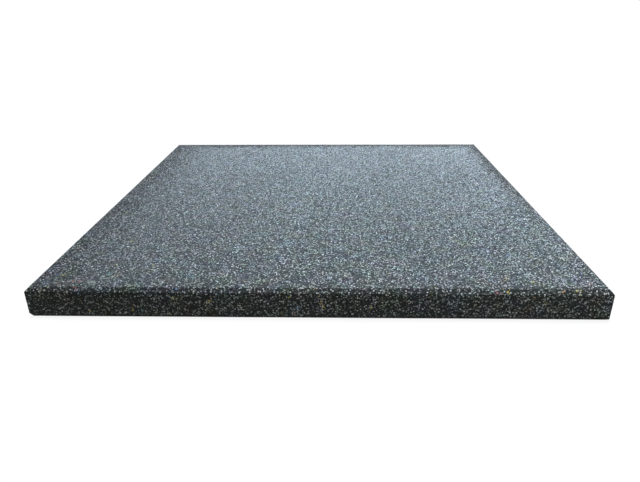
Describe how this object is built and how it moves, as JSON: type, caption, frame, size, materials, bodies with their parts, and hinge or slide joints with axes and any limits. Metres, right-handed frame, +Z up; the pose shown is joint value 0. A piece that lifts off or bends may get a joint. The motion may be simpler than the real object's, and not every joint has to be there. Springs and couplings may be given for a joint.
{
  "type": "rubber gym floor tile",
  "caption": "Square pressed-crumb rubber floor tile with a bevelled wearing face, upright sides and pale and coloured granules.",
  "frame": {"origin": "centre of the underside, on the floor that the tile lies on", "axes": "+Z up out of the wearing face, +X along the side that faces the viewer, -Y towards the viewer"},
  "size_m": [0.5, 0.5, 0.028],
  "materials": {
    "crumb_rubber": "matte"
  },
  "bodies": {
    "root": {"rubber_tile": "crumb_rubber"}
  },
  "joints": []
}
